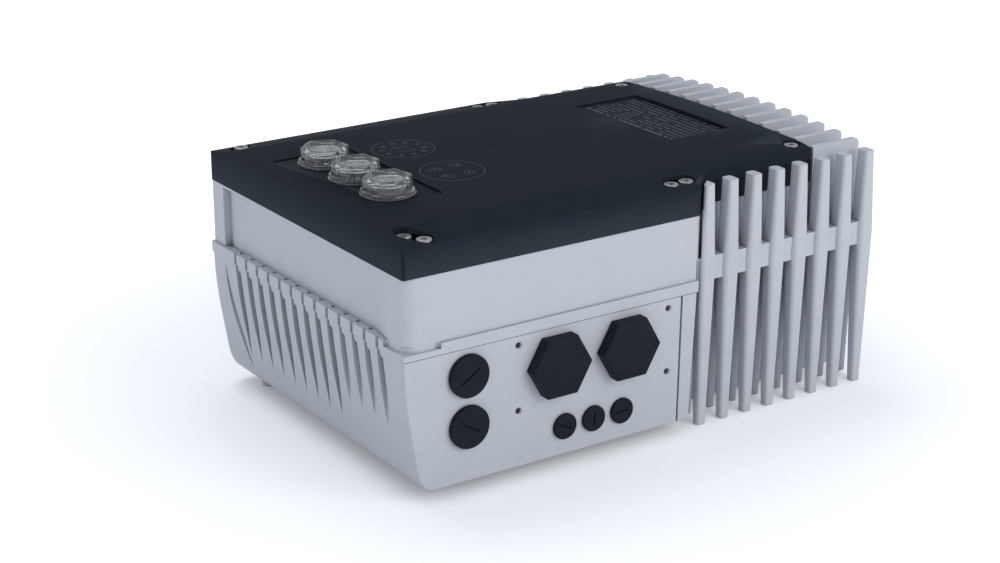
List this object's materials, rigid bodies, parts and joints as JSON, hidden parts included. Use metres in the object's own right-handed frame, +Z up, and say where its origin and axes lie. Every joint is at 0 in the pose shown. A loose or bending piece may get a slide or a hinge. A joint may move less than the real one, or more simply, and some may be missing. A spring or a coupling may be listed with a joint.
{
  "type": "frequency inverter",
  "caption": "Decentralised motor-drive frequency inverter: dark crowned cover with clear inspection caps, die-cast housing, screwed cable plugs and a pin-type heat sink",
  "frame": {"origin": "centre of the whole object's footprint, plugs included, at the floor its feet stand on", "axes": "+Z up to the cover; +X along the housing from the slotted end to the heat sink; the screwed cable plugs face -Y"},
  "size_m": [0.4666, 0.317, 0.2288],
  "materials": {
    "cast_aluminium": "die-cast, fine grain, clear coat",
    "cover_paint": "dark grey fine-texture powder coat",
    "gasket_rubber": "moulded elastomer",
    "screw_steel": "zinc plated",
    "clear_plastic": "clear moulded polycarbonate",
    "plug_plastic": "glass-filled nylon",
    "plate_film": "blank grey film with fine lines",
    "board_green": "solder mask",
    "brass_metal": "nickel-free brass",
    "module_plastic": "moulded",
    "capacitor_sleeve": "shrink sleeve",
    "core_steel": "laminated, varnished",
    "copper_coil": "enamelled copper",
    "terminal_grey": "moulded polyamide",
    "white_plastic": "moulded",
    "trimmer_blue": "moulded",
    "dip_red": "moulded"
  },
  "bodies": {
    "connection_unit": {"base_housing": "cast_aluminium", "base_gasket": "gasket_rubber", "base_connector": "terminal_grey", "terminal_strip": "terminal_grey", "terminal_screws": "screw_steel"},
    "inverter_unit": {"inverter_housing": "cast_aluminium", "side_posts": "cast_aluminium", "cooling_pins": "cast_aluminium", "sink_plate": "cast_aluminium", "end_plates": "cast_aluminium", "unit_screws": "screw_steel", "cover_gasket": "gasket_rubber", "power_board": "board_green", "control_board": "board_green", "power_spacers": "brass_metal", "control_spacers": "brass_metal", "power_board_screws": "screw_steel", "control_board_screws": "screw_steel", "power_module": "module_plastic", "capacitors": "capacitor_sleeve", "choke_core": "core_steel", "choke_coil": "copper_coil", "inverter_connector": "terminal_grey", "trimmer_1_body": "trimmer_blue", "trimmer_2_body": "trimmer_blue", "dip_switch_body": "dip_red", "diagnostic_socket": "module_plastic"},
    "cover": {"cover": "cover_paint", "cover_screws": "screw_steel", "rating_plate": "plate_film"},
    "hex_plug_1_ring": {"hex_plug_1_ring": "gasket_rubber"},
    "hex_plug_1": {"hex_plug_1": "plug_plastic"},
    "hex_plug_2_ring": {"hex_plug_2_ring": "gasket_rubber"},
    "hex_plug_2": {"hex_plug_2": "plug_plastic"},
    "round_plug_1_ring": {"round_plug_1_ring": "gasket_rubber"},
    "round_plug_1": {"round_plug_1": "plug_plastic"},
    "round_plug_2_ring": {"round_plug_2_ring": "gasket_rubber"},
    "round_plug_2": {"round_plug_2": "plug_plastic"},
    "small_plug_1_ring": {"small_plug_1_ring": "gasket_rubber"},
    "small_plug_1": {"small_plug_1": "plug_plastic"},
    "small_plug_2_ring": {"small_plug_2_ring": "gasket_rubber"},
    "small_plug_2": {"small_plug_2": "plug_plastic"},
    "small_plug_3_ring": {"small_plug_3_ring": "gasket_rubber"},
    "small_plug_3": {"small_plug_3": "plug_plastic"},
    "cap_1_ring": {"cap_1_ring": "gasket_rubber"},
    "cap_1": {"cap_1": "clear_plastic"},
    "cap_2_ring": {"cap_2_ring": "gasket_rubber"},
    "cap_2": {"cap_2": "clear_plastic"},
    "cap_3_ring": {"cap_3_ring": "gasket_rubber"},
    "cap_3": {"cap_3": "clear_plastic"},
    "trimmer_1_knob": {"trimmer_1_knob": "white_plastic"},
    "trimmer_2_knob": {"trimmer_2_knob": "white_plastic"},
    "dip_lever_1": {"dip_lever_1": "white_plastic"},
    "dip_lever_2": {"dip_lever_2": "white_plastic"},
    "dip_lever_3": {"dip_lever_3": "white_plastic"},
    "dip_lever_4": {"dip_lever_4": "white_plastic"}
  },
  "joints": [
    {"name": "inverter_lift", "type": "slide", "parent": "connection_unit", "child": "inverter_unit", "axis": [0, 0, 1], "range_m": [0, 0.15]},
    {"name": "cover_lift", "type": "slide", "parent": "inverter_unit", "child": "cover", "axis": [0, 0, 1], "range_m": [0, 0.08]},
    {"name": "hex_plug_1_travel", "type": "slide", "parent": "connection_unit", "child": "hex_plug_1_ring", "axis": [0, -1, 0], "range_m": [0, 0.015]},
    {"name": "hex_plug_1_turn", "type": "hinge", "parent": "hex_plug_1_ring", "child": "hex_plug_1", "pos_m": [-0.095, -0.14815, 0.0893], "axis": [0, -1, 0], "range_deg": [0, 3600.5]},
    {"name": "hex_plug_2_travel", "type": "slide", "parent": "connection_unit", "child": "hex_plug_2_ring", "axis": [0, -1, 0], "range_m": [0, 0.015]},
    {"name": "hex_plug_2_turn", "type": "hinge", "parent": "hex_plug_2_ring", "child": "hex_plug_2", "pos_m": [-0.0285, -0.14815, 0.0893], "axis": [0, -1, 0], "range_deg": [0, 3600.5]},
    {"name": "round_plug_1_travel", "type": "slide", "parent": "connection_unit", "child": "round_plug_1_ring", "axis": [0, -1, 0], "range_m": [0, 0.015]},
    {"name": "round_plug_1_turn", "type": "hinge", "parent": "round_plug_1_ring", "child": "round_plug_1", "pos_m": [-0.1764, -0.14815, 0.0983], "axis": [0, -1, 0], "range_deg": [0, 3600.5]},
    {"name": "round_plug_2_travel", "type": "slide", "parent": "connection_unit", "child": "round_plug_2_ring", "axis": [0, -1, 0], "range_m": [0, 0.015]},
    {"name": "round_plug_2_turn", "type": "hinge", "parent": "round_plug_2_ring", "child": "round_plug_2", "pos_m": [-0.1764, -0.14815, 0.0567], "axis": [0, -1, 0], "range_deg": [0, 3600.5]},
    {"name": "small_plug_1_travel", "type": "slide", "parent": "connection_unit", "child": "small_plug_1_ring", "axis": [0, -1, 0], "range_m": [0, 0.015]},
    {"name": "small_plug_1_turn", "type": "hinge", "parent": "small_plug_1_ring", "child": "small_plug_1", "pos_m": [-0.087, -0.14815, 0.0353], "axis": [0, -1, 0], "range_deg": [0, 3600.5]},
    {"name": "small_plug_2_travel", "type": "slide", "parent": "connection_unit", "child": "small_plug_2_ring", "axis": [0, -1, 0], "range_m": [0, 0.015]},
    {"name": "small_plug_2_turn", "type": "hinge", "parent": "small_plug_2_ring", "child": "small_plug_2", "pos_m": [-0.0593, -0.14815, 0.0353], "axis": [0, -1, 0], "range_deg": [0, 3600.5]},
    {"name": "small_plug_3_travel", "type": "slide", "parent": "connection_unit", "child": "small_plug_3_ring", "axis": [0, -1, 0], "range_m": [0, 0.015]},
    {"name": "small_plug_3_turn", "type": "hinge", "parent": "small_plug_3_ring", "child": "small_plug_3", "pos_m": [-0.0317, -0.14815, 0.0353], "axis": [0, -1, 0], "range_deg": [0, 3600.5]},
    {"name": "cap_1_travel", "type": "slide", "parent": "cover", "child": "cap_1_ring", "axis": [0, 0, 1], "range_m": [0, 0.009]},
    {"name": "cap_1_turn", "type": "hinge", "parent": "cap_1_ring", "child": "cap_1", "pos_m": [-0.1798, 0.05515, 0.2136], "axis": [0, 0, 1], "range_deg": [0, 2160.5]},
    {"name": "cap_2_travel", "type": "slide", "parent": "cover", "child": "cap_2_ring", "axis": [0, 0, 1], "range_m": [0, 0.009]},
    {"name": "cap_2_turn", "type": "hinge", "parent": "cap_2_ring", "child": "cap_2", "pos_m": [-0.1798, 0.00665, 0.2136], "axis": [0, 0, 1], "range_deg": [0, 2160.5]},
    {"name": "cap_3_travel", "type": "slide", "parent": "cover", "child": "cap_3_ring", "axis": [0, 0, 1], "range_m": [0, 0.009]},
    {"name": "cap_3_turn", "type": "hinge", "parent": "cap_3_ring", "child": "cap_3", "pos_m": [-0.1798, -0.04185, 0.2136], "axis": [0, 0, 1], "range_deg": [0, 2160.5]},
    {"name": "trimmer_1_turn", "type": "hinge", "parent": "inverter_unit", "child": "trimmer_1_knob", "pos_m": [-0.1853, 0.05515, 0.1926], "axis": [0, 0, 1], "range_deg": [-150, 150]},
    {"name": "trimmer_2_turn", "type": "hinge", "parent": "inverter_unit", "child": "trimmer_2_knob", "pos_m": [-0.1743, 0.05515, 0.1926], "axis": [0, 0, 1], "range_deg": [-150, 150]},
    {"name": "dip_lever_1_slide", "type": "slide", "parent": "inverter_unit", "child": "dip_lever_1", "axis": [0, 1, 0], "range_m": [0, 0.0028]},
    {"name": "dip_lever_2_slide", "type": "slide", "parent": "inverter_unit", "child": "dip_lever_2", "axis": [0, 1, 0], "range_m": [0, 0.0028]},
    {"name": "dip_lever_3_slide", "type": "slide", "parent": "inverter_unit", "child": "dip_lever_3", "axis": [0, 1, 0], "range_m": [0, 0.0028]},
    {"name": "dip_lever_4_slide", "type": "slide", "parent": "inverter_unit", "child": "dip_lever_4", "axis": [0, 1, 0], "range_m": [0, 0.0028]}
  ],
  "couplings": [
    {"joint": "hex_plug_1_turn", "follows": "hex_plug_1_travel", "rad_per_m": 4188.8},
    {"joint": "hex_plug_2_turn", "follows": "hex_plug_2_travel", "rad_per_m": 4188.8},
    {"joint": "round_plug_1_turn", "follows": "round_plug_1_travel", "rad_per_m": 4188.8},
    {"joint": "round_plug_2_turn", "follows": "round_plug_2_travel", "rad_per_m": 4188.8},
    {"joint": "small_plug_1_turn", "follows": "small_plug_1_travel", "rad_per_m": 4188.8},
    {"joint": "small_plug_2_turn", "follows": "small_plug_2_travel", "rad_per_m": 4188.8},
    {"joint": "small_plug_3_turn", "follows": "small_plug_3_travel", "rad_per_m": 4188.8},
    {"joint": "cap_1_turn", "follows": "cap_1_travel", "rad_per_m": 4188.8},
    {"joint": "cap_2_turn", "follows": "cap_2_travel", "rad_per_m": 4188.8},
    {"joint": "cap_3_turn", "follows": "cap_3_travel", "rad_per_m": 4188.8}
  ]
}
